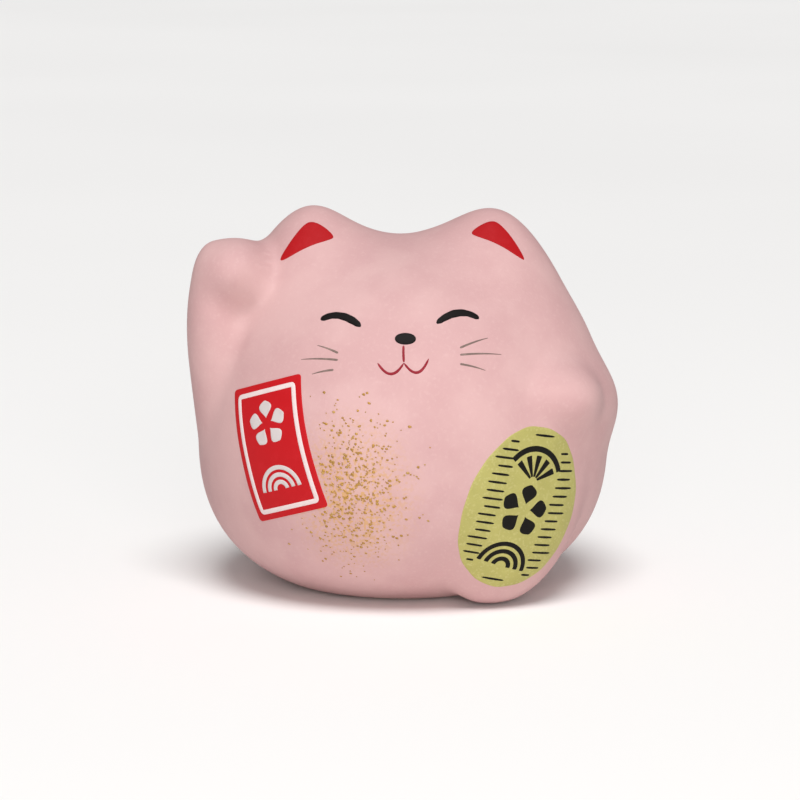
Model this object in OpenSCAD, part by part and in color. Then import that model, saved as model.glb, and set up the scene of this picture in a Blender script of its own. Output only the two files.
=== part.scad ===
// Beckoning cat figurine: one hollow slip-cast earthenware body, a thin coat of matt pink paint,
// and the painted or transferred decoration that lies on it. Millimetres, +Z up, the face looks
// along -Y, and the origin is the middle of the foot on the table.

/* [Body] */
// Width across the belly
body_w = 57.6; // [54:0.1:62]
// Depth from belly to back
body_d = 53; // [48:0.5:58]
// Height of the widest ring above the table
waist_z = 21.2; // [20:0.1:23]
// Height of the dome above the widest ring
dome_h = 27.5; // [26:0.1:29]
// Depth of the bowl below the widest ring, of which the table cuts off the last two millimetres
bowl_h = 23.1; // [22:0.1:25]
// Roundness of the dome, 2 being an ellipse
dome_round = 2.05; // [2:0.05:2.3]
// Roundness of the bowl below the widest ring
bowl_round = 2.5; // [2.4:0.05:3]
// Radius of the rounding where the bowl meets the table
heel_blend = 1.2; // [0.5:0.1:3]

/* [Ears] */
// Centre of the cat's left ear
left_ear_at = [13.6, 0.5, 42]; // [-60:0.1:60]
// Half sizes of the cat's left ear
left_ear_size = [5.1, 6, 9.8]; // [2:0.1:14]
// Lean of the cat's left ear
left_ear_lean = -9; // [-20:1:20]
// Centre of the cat's right ear
right_ear_at = [-14.6, 0.5, 42.7]; // [-60:0.1:60]
// Half sizes of the cat's right ear
right_ear_size = [4.8, 6, 9.8]; // [2:0.1:14]
// Lean of the cat's right ear
right_ear_lean = 14; // [-20:1:20]
// Softness of the join between ear and head
ear_blend = 11.5; // [8:0.5:14]

/* [Raised right arm] */
// Centre of the forearm
forearm_at = [-25.5, -5, 34.4]; // [-60:0.1:60]
// Half sizes of the forearm
forearm_size = [4.4, 5.4, 14]; // [2:0.1:20]
// Lean of the forearm
forearm_lean = -3; // [-15:1:15]
// Centre of the back of the hand
hand_at = [-21.6, -2, 42.4]; // [-60:0.1:60]
// Half sizes of the back of the hand
hand_size = [5, 4.6, 5.6]; // [2:0.1:10]
// Centre of the curled paw
paw_at = [-23, -6.5, 45]; // [-60:0.1:60]
// Half sizes of the curled paw
paw_size = [4.5, 5.1, 4.1]; // [2:0.1:8]
// Forward tilt of the curled paw
paw_tilt = 10; // [0:1:40]
// Softness of the joins along the raised arm
raised_blend = 2.9; // [1.5:0.1:4]
// Softness of the join of each paw
paw_blend = 2.6; // [2:0.1:6]

/* [Left arm] */
// Centre of the shoulder
shoulder_at = [18.5, -2, 30.1]; // [-60:0.1:60]
// Half sizes of the shoulder
shoulder_size = [6, 11, 8]; // [3:0.1:14]
// Lean of the shoulder
shoulder_lean = -18; // [-40:1:0]
// Centre of the forearm that lies on the belly
resting_arm_at = [22.4, -7.5, 26]; // [-60:0.1:60]
// Half sizes of the resting forearm
resting_arm_size = [4.6, 9.5, 4]; // [2:0.1:12]
// Turn of the resting forearm about the vertical
resting_arm_turn = -28; // [-45:1:0]
// Centre of the paw that holds the coin
holding_paw_at = [21.2, -13.8, 28.7]; // [-60:0.1:60]
// Half sizes of the holding paw
holding_paw_size = [5.6, 5.8, 4.3]; // [2:0.1:8]
// Tilt of the holding paw
holding_paw_tilt = 10; // [0:1:30]
// Softness of the joins along the left arm
resting_blend = 6; // [3:0.1:8]

/* [Coin boss] */
// Centre of the raised boss that carries the oval coin
boss_at = [14.1, -15.4, 13.4]; // [-60:0.1:60]
// Half sizes of the boss
boss_size = [10.2, 6.2, 13.6]; // [4:0.1:16]
// Turn of the boss about the vertical
boss_turn = 22; // [0:1:40]
// Sideways lean of the boss
boss_lean = 20; // [0:1:30]
// Softness of the join round the boss
boss_blend = 1.8; // [1:0.1:4]

/* [Tail] */
// Centre of the tail, a low swelling on the back
tail_at = [6, 23.4, 8.6]; // [-60:0.1:60]
// Half sizes of the tail
tail_size = [8.5, 3.4, 3.8]; // [2:0.1:12]
// Turn of the tail about the vertical
tail_turn = -12; // [-30:1:0]
// Softness of the join round the tail
tail_blend = 4; // [2:0.5:8]

/* [Casting] */
// Thickness of the cast wall
wall = 3; // [2.5:0.1:4]
// Thickness of the pink coat
coat = 0.15; // [0.1:0.01:0.3]
// Radius of the flat foot ring
foot_r = 12.4; // [11:0.1:13]
// Width of the foot ring
foot_w = 2.4; // [1.5:0.1:4]
// Depth of the recess inside the foot ring
recess = 1; // [0.5:0.1:1.5]
// Radius of the vent through the base
vent_r = 3.5; // [2:0.1:5]

/* [Decoration] */
// Thickness of each painted or transferred layer
film = 0.14; // [0.08:0.01:0.2]
// Width of the red label
label_w = 11.8; // [8:0.1:14]
// Height of the red label
label_h = 18.2; // [12:0.1:22]
// Width of the oval coin
coin_w = 17.5; // [12:0.1:20]
// Height of the oval coin
coin_h = 22.9; // [16:0.1:25]
// Number of gold flecks on the belly
flecks = 130; // [20:1:200]

/* [Hidden] */

// Mean radius of the egg, which turns its size ratio into a height in millimetres
egg_r = 26;
// Grid of the body: columns round it, rows from crown to foot, and rows of the hollow inside
around = 64;
rows = 44;
hollow_rows = 9;
// The grid is closer near the raised paw: its bearing there, and how much closer it is
paw_bearing = 208;
crowd_round = 0.35;
crowd_down = 0.3;
// Inner point that the rays start from at the foot, and how far they have swayed from it at the
// crown, so that every ray meets the surface once, even under the curled paw
heart = [0, 0, 31];
sway = [-1, 8, 2];
// Angle above the foot at which the pink coat ends
bare_angle = 1.1;
// Gap between one layer and the next
gap = 0.04;

// ---- Solid form: soft joins of egg-shaped lumps -------------------------------------------

// Matrix that turns about X, then Y, then Z
function turn(x, y, z) =
    [[cos(z), -sin(z), 0], [sin(z), cos(z), 0], [0, 0, 1]]
    * [[cos(y), 0, sin(y)], [0, 1, 0], [-sin(y), 0, cos(y)]]
    * [[1, 0, 0], [0, cos(x), -sin(x)], [0, sin(x), cos(x)]];

// Each lump is its centre, half sizes, turn and softness of join
LUMPS = [
    [left_ear_at, left_ear_size, turn(0, left_ear_lean, 0), ear_blend],
    [right_ear_at, right_ear_size, turn(0, right_ear_lean, 0), ear_blend],
    [forearm_at, forearm_size, turn(0, forearm_lean, 0), raised_blend],
    [hand_at, hand_size, turn(0, 0, 0), raised_blend],
    [paw_at, paw_size, turn(paw_tilt, 0, 0), paw_blend],
    [shoulder_at, shoulder_size, turn(0, shoulder_lean, 0), resting_blend],
    [resting_arm_at, resting_arm_size, turn(0, 0, resting_arm_turn), resting_blend],
    [holding_paw_at, holding_paw_size, turn(0, holding_paw_tilt, 0), paw_blend],
    [boss_at, boss_size, turn(0, 0, boss_turn) * turn(0, boss_lean, 0), boss_blend],
    [tail_at, tail_size, turn(0, 0, tail_turn), tail_blend]
];

// Smaller of two heights with a soft join of width k
function soft_min(a, b, k) = let (h = max(k - abs(a - b), 0) / k) min(a, b) - h * h * k / 4;

// Signed height of a point above a lump
function above_lump(p, lump) =
    let (
        q = (p - lump[0]) * lump[2],
        s = lump[1],
        near = norm([q.x / s.x, q.y / s.y, q.z / s.z]),
        slope = norm([q.x / s.x ^ 2, q.y / s.y ^ 2, q.z / s.z ^ 2])
    ) near * (near - 1) / max(slope, 1e-6);

// Signed height above the egg that makes head and belly
function above_egg(p) =
    let (
        dz = p.z - waist_z,
        n = dz > 0 ? dome_round : bowl_round,
        h = dz > 0 ? dome_h : bowl_h,
        r = norm([2 * p.x / body_w, 2 * p.y / body_d])
    ) ((r ^ n + abs(dz / h) ^ n) ^ (1 / n) - 1) * egg_r;

function join_lumps(p, f, i) =
    i == len(LUMPS) ? f : join_lumps(p, soft_min(f, above_lump(p, LUMPS[i]), LUMPS[i][3]), i + 1);

// Signed height above the whole figure, cut flat at the table
function above(p) = -soft_min(-join_lumps(p, above_egg(p), 0), p.z, heel_blend);

// Distance along a ray, which starts outside, to where it meets the figure
function sink(o, d, t) = above(o + t * d) < 0 || t > 60 ? t : sink(o, d, t + 1.5);
function halve(o, d, a, b, n) =
    let (m = (a + b) / 2)
    n == 0 ? m : above(o + m * d) < 0 ? halve(o, d, a, m, n - 1) : halve(o, d, m, b, n - 1);
function land(o, d) = let (t = sink(o, d, 0)) o + d * halve(o, d, t - 1.5, t, 11);

// ---- Meshes: a mesh is a list of points and a list of triangles ---------------------------

// Closed skin round a stack of rings, with one point at each end
function skin_mesh(top, rings, bottom) =
    let (
        n = len(rings[0]),
        m = len(rings),
        at = function (i, j) 1 + i * n + (j + n) % n,
        last = 1 + m * n
    )
    [[top, each [for (r = rings) each r], bottom],
     [for (j = [0:n - 1]) [0, at(0, j + 1), at(0, j)],
      for (i = [0:m - 2]) for (j = [0:n - 1]) each
        [[at(i, j), at(i, j + 1), at(i + 1, j + 1)], [at(i, j), at(i + 1, j + 1), at(i + 1, j)]],
      for (j = [0:n - 1]) [last, at(m - 1, j), at(m - 1, j + 1)]]];

// Closed plate between two grids of points, lower and upper, each a list of rows
function plate_mesh(lower, upper) =
    let (
        m = len(lower),
        n = len(lower[0]),
        size = m * n,
        at = function (i, j) i * n + j,
        rim = [for (j = [0:n - 1]) at(0, j), for (i = [1:m - 1]) at(i, n - 1),
               for (j = [n - 2:-1:0]) at(m - 1, j), for (i = [m - 2:-1:1]) at(i, 0)],
        edge = len(rim)
    )
    [[each [for (r = lower) each r], each [for (r = upper) each r]],
     [for (i = [0:m - 2]) for (j = [0:n - 2]) each
        [[at(i, j), at(i, j + 1), at(i + 1, j + 1)], [at(i, j), at(i + 1, j + 1), at(i + 1, j)],
         [size + at(i, j), size + at(i + 1, j + 1), size + at(i, j + 1)],
         [size + at(i, j), size + at(i + 1, j), size + at(i + 1, j + 1)]],
      for (k = [0:edge - 1]) let (a = rim[k], b = rim[(k + 1) % edge]) each
        [[a, size + a, b], [b, size + a, size + b]]]];

// Several meshes as one, for a part made of separate pieces
function gather(meshes) =
    let (starts = [for (i = 0, s = 0; i < len(meshes); s = s + len(meshes[i][0]), i = i + 1) s])
    [[for (m = meshes) each m[0]],
     [for (i = [0:len(meshes) - 1]) for (f = meshes[i][1]) [for (k = f) k + starts[i]]]];

module build(mesh) polyhedron(mesh[0], mesh[1], convexity = 6);

// ---- The body and its coat ----------------------------------------------------------------

coat_angle = 180 - atan(foot_r / heart.z) - bare_angle;

// Bearing of a column, and angle down from the crown of a row, both crowded near the raised paw
function bearing(j) = let (t = 360 * j / around) t - crowd_round * 180 / PI * sin(t - paw_bearing);
function drop(t) = t - crowd_down * 90 / PI * sin(2 * (t - 60));
function row_angle(i) =
    let (t = coat_angle * i / rows, ends = [drop(0), drop(coat_angle)])
    (drop(t) - ends[0]) * coat_angle / (ends[1] - ends[0]);

function heading(i, j) =
    let (lat = row_angle(i), lon = bearing(j))
    [sin(lat) * cos(lon), sin(lat) * sin(lon), cos(lat)];

// Point of the figure's surface on grid row i and column j, sunk by a depth
function body_point(i, j, depth) =
    let (d = heading(i, j), start = heart + sway * (1 + cos(row_angle(i))) / 2)
    land(start + 45 * d, -d) - depth * d;

function body_rings(depth, first, last) =
    [for (i = [first:last]) [for (j = [0:around - 1]) body_point(i, j, depth)]];

function level_ring(r, z) =
    [for (j = [0:around - 1]) [r * cos(bearing(j)), r * sin(bearing(j)), z]];

// Ring of the hollow inside at angle a, from -90 at its floor to 90 at its crown
function hollow_ring(a) =
    let (
        n = a > 0 ? dome_round : bowl_round,
        h = (a > 0 ? dome_h : waist_z) - wall,
        out = cos(a) ^ (2 / n),
        up = sign(a) * abs(sin(a)) ^ (2 / n)
    )
    [for (j = [0:around - 1])
        [(body_w / 2 - wall) * out * cos(bearing(j)),
         (body_d / 2 - wall) * out * sin(bearing(j)), waist_z + h * up]];

hollow_crown = waist_z + dome_h - wall;

// The casting is one skin, outside and in, that turns over at the foot and at the vent
module casting() build(skin_mesh(body_point(0, 0, coat),
    concat(body_rings(coat, 1, rows),
        [level_ring(foot_r, 0), level_ring(vent_r, 0), level_ring(vent_r, wall)],
        [for (k = [1:hollow_rows]) hollow_ring(-90 + 180 * k / (hollow_rows + 1))]),
    [0, 0, hollow_crown]));

// Tapered recess under the foot, which leaves a flat ring to stand on
module foot_recess() {
    inner_foot = foot_r - foot_w;
    translate([0, 0, -recess])
        cylinder(h = 2 * recess, r1 = inner_foot + recess / 2, r2 = inner_foot - recess / 2, $fn = 96);
}

module ceramic_shell() color("#d9c3ae")
    difference() {
        casting();
        foot_recess();
    }

module pink_coat() {
    outside = body_rings(0, 1, rows);
    inside = body_rings(coat, 1, rows);
    color("#e9bfc0")
    build(skin_mesh(body_point(0, 0, 0),
        concat(outside, [for (i = [len(inside) - 1:-1:0]) inside[i]]),
        body_point(0, 0, coat)));
}

// ---- Decoration: ribbons laid on the surface ----------------------------------------------

// A view is its middle, its right, its up and its outward direction
function view(middle, yaw, pitch) =
    let (m = turn(0, 0, yaw) * turn(pitch, 0, 0)) [middle, m * [1, 0, 0], m * [0, 0, 1], m * [0, -1, 0]];
FRONT = view([0, -22, 18.1], 0, 0);
FACE = view([0, -20, 38.1], 0, -35);
LABEL = view([-17.7, -20.9, 22.5], -38, 0);
COIN = view([16.1, -21.6, 14.4], 24, 8);

// Surface point seen at (a, b) in a view
function touch(v, p) = land(v[0] + p.x * v[1] + p.y * v[2] + 12 * v[3], -v[3]);

// Direction of a path at station i
function along(path, i) =
    let (d = path[min(i + 1, len(path) - 1)] - path[max(i - 1, 0)]) d / norm(d);

// Film on the surface between two edges, with columns across and a number of layers beneath it
function film_between(v, left, right, columns = 2, layer = 0) =
    let (
        low = [for (i = [0:len(left) - 1])
            [for (c = [0:columns - 1]) touch(v, left[i] + (right[i] - left[i]) * c / (columns - 1))]],
        lift = gap + layer * (film + gap)
    )
    plate_mesh([for (r = low) [for (p = r) p + v[3] * lift]],
        [for (r = low) [for (p = r) p + v[3] * (lift + film)]]);

// Film along a path, with its half width at each station
function ribbon(v, path, half, columns = 2, layer = 0) =
    let (side = [for (i = [0:len(path) - 1]) let (t = along(path, i)) half[i] * [-t.y, t.x]])
    film_between(v, path + side, path - side, columns, layer);

// Curve through a start and an end, pulled towards a middle point
function bow(a, b, c, n) =
    [for (i = [0:n]) let (t = i / n) (1 - t) ^ 2 * a + 2 * t * (1 - t) * b + t ^ 2 * c];
function arc(c, r, a0, a1, n) = [for (i = [0:n]) let (a = a0 + (a1 - a0) * i / n) c + r * [cos(a), sin(a)]];
// Half widths of a brush stroke: full in the middle, thin at both ends
function stroke(n, w, thin = 0.35) = [for (i = [0:n]) w * (thin + (1 - thin) * sin(180 * i / n) ^ 0.6)];
// Half widths of an oval
function oval(n, w) = [for (i = [0:n]) let (t = -cos(180 * i / n)) w * max(sqrt(1 - t * t), 0.12)];
function oval_path(c, d, n) = [for (i = [0:n]) c - d * cos(180 * i / n)];
function spin(p, a) = [p.x * cos(a) - p.y * sin(a), p.x * sin(a) + p.y * cos(a)];

// Motifs: lists of [path, half widths], about the origin and of outer radius 1
function blossom(petals) =
    [for (k = [0:petals - 1]) let (a = 90 + 360 * k / petals, d = [cos(a), sin(a)])
        [[for (t = [0.28, 0.5, 0.75, 0.93, 1]) d * t],
         [0.06, 0.2, 0.34, 0.24, 0.08]]];
function fan(ribs) = concat(
    [for (k = [0:ribs - 1]) let (a = 35 + 110 * k / (ribs - 1), d = [cos(a), sin(a)])
        [[[0, -0.75] + 0.2 * d, [0, -0.75] + 1.15 * d], [0.05, 0.15]]],
    [[arc([0, -0.75], 1.42, 28, 152, 8), [for (i = [0:8]) 0.13]]]);
function waves(n) =
    [for (k = [1:n]) [arc([0, -0.5], k / n, 0, 180, 8), [for (i = [0:8]) 0.3 / n]]];

// A motif set down in a view with its place, turn and size
function motif(v, shapes, at, angle, size, layer) = gather(
    [for (s = shapes) ribbon(v, [for (p = s[0]) at + spin(p * size, angle)], s[1] * size, 2, layer)]);

EAR_RED = "#c3202a";
BRUSH_BLACK = "#1c1a1a";
LABEL_RED = "#d0222c";

// Red of an ear: from its outer and inner corners up to a blunt tip
module ear_paint(outer, inner, tip_outer, tip_inner, swell) color(EAR_RED)
    build(film_between(FACE, bow(outer, (outer + tip_outer) / 2 + swell, tip_outer, 5),
        bow(inner, (inner + tip_inner) / 2 - swell / 2, tip_inner, 5), 5));
module right_ear_paint() ear_paint([-16.7, 14.6], [-9.8, 17], [-13.3, 19.5], [-12.5, 19.6], [-0.4, 0.4]);
module left_ear_paint() ear_paint([16.5, 14.8], [9.6, 18], [12.8, 19.8], [12, 19.9], [0.5, 0.4]);

module right_eye_paint() color(BRUSH_BLACK)
    build(ribbon(FACE, bow([-11, 3], [-8.6, 4.3], [-5.8, 1], 8), stroke(8, 0.56)));
module left_eye_paint() color(BRUSH_BLACK)
    build(ribbon(FACE, bow([4.6, 1.4], [7.6, 4.7], [10.1, 2.9], 8), stroke(8, 0.56)));

module nose_paint() color(BRUSH_BLACK)
    build(ribbon(FACE, oval_path([0.3, -1.1], [1.4, 0], 8), oval(8, 0.88), 3));

module mouth_paint() color("#8c1f2b")
    build(gather([
        ribbon(FACE, bow([0.05, -2.1], [0, -3.4], [0.1, -4.5], 4), stroke(4, 0.17)),
        ribbon(FACE, bow([-3.4, -4.5], [-1.6, -7.6], [-0.05, -4.9], 8), stroke(8, 0.18)),
        ribbon(FACE, bow([0.3, -4.9], [2, -7.4], [3.4, -3.9], 8), stroke(8, 0.18))]));

// Whiskers, each from its root to its tip, thinning outward
module whiskers(hairs) color("#7d6a63")
    build(gather([for (h = hairs)
        ribbon(FACE, bow(h[0], (h[0] + h[1]) / 2 + [0, 0.15], h[1], 4), [0.16, 0.16, 0.14, 0.11, 0.07])]));
module right_whiskers() whiskers([
    [[-8.7, -2.6], [-11.5, -1]], [[-8.7, -3.6], [-13.7, -2.6]], [[-9.3, -4.9], [-12.2, -5]]]);
module left_whiskers() whiskers([
    [[7.6, -2], [11.4, 0.1]], [[7.6, -3], [13.2, -2]], [[7.6, -4.3], [11, -4.7]]]);

// Gold flecks: a sunflower spiral, thick in the middle, with each place and size disturbed
function hash(i) = let (s = sin(i * 77.17) * 4375.85) s - floor(s);
function fleck_place(i) =
    let (r = sqrt(-2 * ln(1 - (i + 0.5) / (flecks + 4))), a = i * 137.508 + 50 * hash(i))
    [-6.8, 0] + [3.6 * r * cos(a), 5.4 * r * sin(a)];
function on_label(p) =
    let (d = touch(FRONT, p) - LABEL[0], q = spin([d * LABEL[1], d * LABEL[2]], -label_tilt))
    abs(q.x) < label_w / 2 + 0.6 && abs(q.y) < label_h / 2 + 0.6;
label_tilt = 17;
module gold_flecks() color("#c9a24a")
    build(gather([for (i = [0:flecks - 1]) let (p = fleck_place(i), s = 0.16 + 0.14 * hash(i + 500))
        if (!on_label(p) && p.x < 6 && abs(p.y) < 14)
            ribbon(FRONT, [p, p + 2 * s * spin([1, 0], 360 * hash(i + 900))], [s, s * 0.7])]));

// The label: a red ground, a pale line inside its edge and two motifs
function label_line(a, b, n) = [for (i = [0:n]) spin(a + (b - a) * i / n, label_tilt)];
module fortune_label() color(LABEL_RED)
    build(ribbon(LABEL, label_line([0, -label_h / 2], [0, label_h / 2], 12),
        [for (i = [0:12]) label_w / 2], 7));
module label_border() {
    x = label_w / 2 - 1.15;
    y = label_h / 2 - 1.15;
    w = 0.3;
    color("#f0e4e2")
    build(gather([
        for (s = [-1, 1]) ribbon(LABEL, label_line([s * x, -y], [s * x, y], 10),
            [for (i = [0:10]) w], 2, 1),
        for (s = [-1, 1]) ribbon(LABEL, label_line([-x + w + gap, s * (y - w)], [x - w - gap, s * (y - w)], 6),
            [for (i = [0:6]) w], 2, 1)]));
}
module label_blossom() color("#ded6d6")
    build(motif(LABEL, blossom(5), spin([0, 3.6], label_tilt), label_tilt, 3.1, 1));
module label_waves() color("#ded6d6")
    build(motif(LABEL, waves(3), spin([0, -3.9], label_tilt), label_tilt, 3, 1));

// The coin: a gold oval, short ruled lines all over it and a black motif column
coin_lean = -19;
rule_slope = -11.5;
rule_pitch = 1.15;
function in_coin(p, edge) =
    let (q = spin(p, -coin_lean)) (q.x / (coin_w / 2 - edge)) ^ 2 + (q.y / (coin_h / 2 - edge)) ^ 2 < 1;
module coin_plate() color("#bdb56e")
    build(ribbon(COIN, oval_path([0, 0], spin([0, coin_h / 2], coin_lean), 14), oval(14, coin_w / 2), 9));
// Half width that the motif column keeps clear at a height
column_half = 3.9;
// Place on the coin at x along row k of the dashes
function dash_point(k, x) = spin([0, k * rule_pitch], coin_lean) + spin([x, 0], rule_slope);
// How far a row runs to side s before it comes within half a millimetre of the coin's edge
function reach(k, s, x) = in_coin(dash_point(k, s * x), 0.5) ? reach(k, s, x + 0.2) : x - 0.2;
// Start and end of the dashes in row k: one across the top and the bottom, else one on each side
function dashes(k) = abs(k) > 8 ? [[-1.6, 1.6]]
    : [for (s = [-1, 1])
        let (x0 = column_half - 0.4 * hash(k + 40 * s), x1 = min(reach(k, s, x0), x0 + 2.2 + hash(k + 90 * s)))
        if (x1 - x0 > 0.8) [s * x0, s * x1]];
function rule_row(k) = [for (d = dashes(k)) [dash_point(k, d[0]), dash_point(k, d[1])]];
module coin_rules() color(BRUSH_BLACK)
    build(gather([for (k = [-9:9]) for (r = rule_row(k))
        ribbon(COIN, [r[0], (r[0] + r[1]) / 2, r[1]], [0.13, 0.16, 0.1], 2, 1)]));
module coin_fan() color(BRUSH_BLACK)
    build(motif(COIN, fan(5), spin([0, 6.4], coin_lean), coin_lean, 3.1, 1));
module coin_blossom() color(BRUSH_BLACK)
    build(motif(COIN, blossom(5), spin([0, 0], coin_lean), coin_lean, 3.6, 1));
module coin_waves() color(BRUSH_BLACK)
    build(motif(COIN, waves(3), spin([0, -6.6], coin_lean), coin_lean, 3.3, 1));

ceramic_shell();
pink_coat();
right_ear_paint();
left_ear_paint();
right_eye_paint();
left_eye_paint();
nose_paint();
mouth_paint();
right_whiskers();
left_whiskers();
gold_flecks();
fortune_label();
label_border();
label_blossom();
label_waves();
coin_plate();
coin_rules();
coin_fan();
coin_blossom();
coin_waves();
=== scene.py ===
# %% [markdown]
# # A beckoning cat of painted earthenware
# The figure is one hollow casting of soft earthenware. It is sprayed with matt pink paint, brushed
# with a face by hand, spattered with gold, and finished with a printed label and a gold coin.
# This lesson builds each of those layers as a real thin surface, because a layer of paint has an
# edge and a height of its own, and then gives each one the finish that its making leaves.

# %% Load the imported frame
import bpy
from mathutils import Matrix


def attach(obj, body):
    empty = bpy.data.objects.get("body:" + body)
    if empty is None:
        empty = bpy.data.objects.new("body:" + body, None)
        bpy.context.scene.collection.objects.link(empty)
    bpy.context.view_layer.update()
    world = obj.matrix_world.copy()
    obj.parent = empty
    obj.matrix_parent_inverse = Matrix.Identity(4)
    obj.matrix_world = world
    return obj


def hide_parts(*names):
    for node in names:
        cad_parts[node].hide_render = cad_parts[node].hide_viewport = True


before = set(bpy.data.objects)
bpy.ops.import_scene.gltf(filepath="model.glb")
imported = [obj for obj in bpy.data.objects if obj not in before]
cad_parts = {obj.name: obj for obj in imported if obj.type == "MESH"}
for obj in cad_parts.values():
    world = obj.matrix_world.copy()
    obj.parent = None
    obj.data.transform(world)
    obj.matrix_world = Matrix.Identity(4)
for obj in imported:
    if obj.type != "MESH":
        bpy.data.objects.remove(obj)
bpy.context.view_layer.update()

# %% [markdown]
# ## Units and small tools
# Lengths in the lesson are millimetres, as on a maker's drawing, and each mesh is turned to metres
# as it is made. A mesh is always a grid of points worked out at once with numpy.

# %% Units and mesh tools
import math

import bpy
import numpy as np
from mathutils import Vector

MM = 0.001


def mesh_piece(name, points, faces, finish, node):
    """One smooth object from points in mm and faces, riding on the body and standing for a node."""
    mesh = bpy.data.meshes.new(name)
    mesh.from_pydata((np.asarray(points) * MM).tolist(), [], faces)
    mesh.polygons.foreach_set("use_smooth", np.ones(len(mesh.polygons), dtype=bool))
    mesh.update()
    mesh.materials.append(finish)
    piece = bpy.data.objects.new(name, mesh)
    bpy.context.scene.collection.objects.link(piece)
    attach(piece, "root")
    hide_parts(node)
    print(f"{name}: {len(points)} points, {len(faces)} faces")


def unit(v):
    """Arrows of length 1 along the last axis."""
    return v / np.linalg.norm(v, axis=-1, keepdims=True)


def skin_faces(rings, around):
    """Faces of a closed skin: point 0, then rings of points, then one last point."""
    ring = 1 + np.arange(rings)[:, None] * around
    here = np.arange(around)[None, :]
    there = (here + 1) % around
    quads = np.stack([ring[:-1] + here, ring[1:] + here, ring[1:] + there, ring[:-1] + there], -1)
    last = 1 + rings * around
    first_fan = np.stack([np.zeros(around, int), 1 + here[0], 1 + there[0]], -1)
    last_ring = 1 + (rings - 1) * around
    last_fan = np.stack([np.full(around, last), last_ring + there[0], last_ring + here[0]], -1)
    return quads.reshape(-1, 4).tolist() + first_fan.tolist() + last_fan.tolist()

# %% [markdown]
# ## The form
# A sculptor would make this cat from a ball of clay, pressing on smaller lumps for ears, arms and
# paws and smoothing each join with a thumb. The same thing is done here with numbers: every lump
# is an ellipsoid with a signed height above it, and soft_min melts two heights together. The
# sizes are the ones that the CAD model is built from.

# %% The lumps and the soft join
def turn(x, y, z):
    """Matrix that turns about X, then Y, then Z, in degrees."""
    (sx, sy, sz), (cx, cy, cz) = np.sin(np.radians([x, y, z])), np.cos(np.radians([x, y, z]))
    about_x = np.array([[1, 0, 0], [0, cx, -sx], [0, sx, cx]])
    about_y = np.array([[cy, 0, sy], [0, 1, 0], [-sy, 0, cy]])
    about_z = np.array([[cz, -sz, 0], [sz, cz, 0], [0, 0, 1]])
    return about_z @ about_y @ about_x


BELLY_W, BELLY_D = 57.6, 53.0
WAIST_Z, DOME_H, BOWL_H = 21.2, 27.5, 23.1
DOME_ROUND, BOWL_ROUND = 2.05, 2.5
HEEL_BLEND, EGG_R = 1.2, 26

# centre, half sizes, turn, softness of join
LUMPS = {
    "left ear": ((13.6, 0.5, 42.0), (5.1, 6.0, 9.8), turn(0, -9, 0), 11.5),
    "right ear": ((-14.6, 0.5, 42.7), (4.8, 6.0, 9.8), turn(0, 14, 0), 11.5),
    "raised forearm": ((-25.5, -5.0, 34.4), (4.4, 5.4, 14.0), turn(0, -3, 0), 2.9),
    "back of hand": ((-21.6, -2.0, 42.4), (5.0, 4.6, 5.6), turn(0, 0, 0), 2.9),
    "curled paw": ((-23.0, -6.5, 45.0), (4.5, 5.1, 4.1), turn(10, 0, 0), 2.6),
    "shoulder": ((18.5, -2.0, 30.1), (6.0, 11.0, 8.0), turn(0, -18, 0), 6.0),
    "resting forearm": ((22.4, -7.5, 26.0), (4.6, 9.5, 4.0), turn(0, 0, -28), 6.0),
    "holding paw": ((21.2, -13.8, 28.7), (5.6, 5.8, 4.3), turn(0, 10, 0), 2.6),
    "coin boss": ((14.1, -15.4, 13.4), (10.2, 6.2, 13.6), turn(0, 0, 22) @ turn(0, 20, 0), 1.8),
    "tail": ((6.0, 23.4, 8.6), (8.5, 3.4, 3.8), turn(0, 0, -12), 4.0),
}


def soft_min(a, b, k):
    """The smaller of two heights, rounded over a band k wide: min(a, b) less h squared times k / 4."""
    h = np.maximum(k - np.abs(a - b), 0) / k
    return np.minimum(a, b) - h * h * k / 4


def above(p):
    """Signed height of points p above the figure in mm.

    The egg is ((flat^n + tall^n)^(1/n) - 1) times its radius, with its own n and height above and
    below the waist. With q the place in half sizes of a lump, the lump is |q| (|q| - 1) over
    |q / half sizes|. Each lump melts into the egg, and a last soft join cuts it all at the table.
    """
    dz = p[..., 2] - WAIST_Z
    power = np.where(dz > 0, DOME_ROUND, BOWL_ROUND)
    tall = np.where(dz > 0, DOME_H, BOWL_H)
    flat = np.hypot(2 * p[..., 0] / BELLY_W, 2 * p[..., 1] / BELLY_D)
    f = ((flat**power + np.abs(dz / tall) ** power) ** (1 / power) - 1) * EGG_R
    for centre, size, turned, k in LUMPS.values():
        q = (p - np.array(centre)) @ turned / np.array(size)
        near = np.linalg.norm(q, axis=-1)
        slope = np.linalg.norm(q / np.array(size), axis=-1)
        f = soft_min(f, near * (near - 1) / np.maximum(slope, 1e-6), k)
    return -soft_min(-f, p[..., 2], HEEL_BLEND)


belly_depth = -float(above(np.array([0, 0, WAIST_Z])))
print(len(LUMPS), "lumps; the middle of the belly lies", round(belly_depth, 1), "mm below the surface")

# %% [markdown]
# ## Finding the surface
# A potter finds the skin of a lump by feeling for it. Here a ray comes in from outside in short
# strides until it is under the skin, and halving the last stride again and again finds the place.
# All rays of a piece are walked at once, as one array.

# %% Landing on the surface
STRIDE, FARTHEST, HALVINGS = 0.75, 60, 14
SLOPE_STEP = 0.05


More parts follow.
